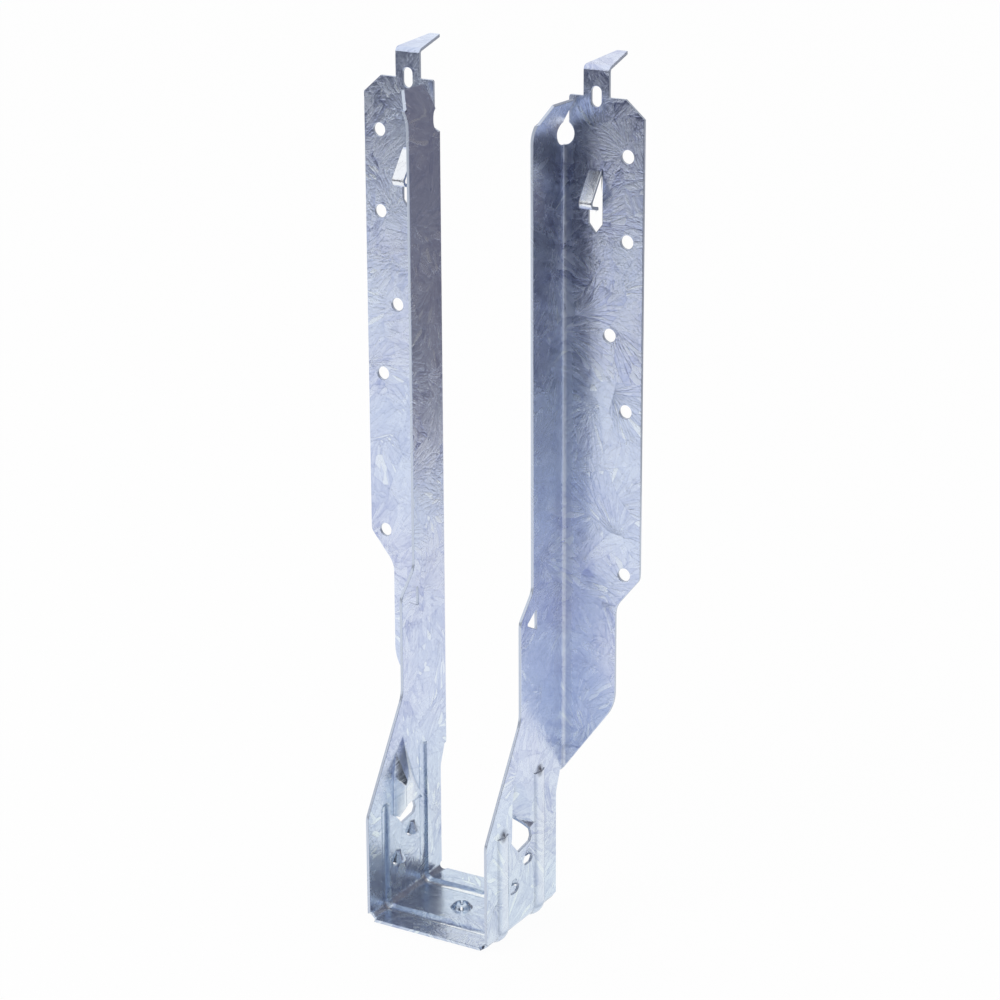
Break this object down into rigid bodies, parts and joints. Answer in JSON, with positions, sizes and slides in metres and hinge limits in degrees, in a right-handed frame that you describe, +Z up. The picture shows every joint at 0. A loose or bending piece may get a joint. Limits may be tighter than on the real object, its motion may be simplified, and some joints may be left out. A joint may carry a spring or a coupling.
{
  "type": "joist hanger",
  "caption": "Face-mounted joist hanger folded from one galvanised steel sheet: a U-shaped pocket with nailing flanges, top tabs, prongs and flange grips.",
  "frame": {"origin": "centre of the four outer face nails, on the plane where the flanges meet the header", "axes": "+X across the joist, +Y into the header, +Z up; the joist runs away at -Y and its seat is at Z -0.1985 m"},
  "size_m": [0.1096, 0.071, 0.3058],
  "materials": {
    "galvanised_sheet": "hot-dip galvanised, with visible spangle"
  },
  "bodies": {
    "root": {"joist_hanger": "galvanised_sheet"}
  },
  "joints": []
}
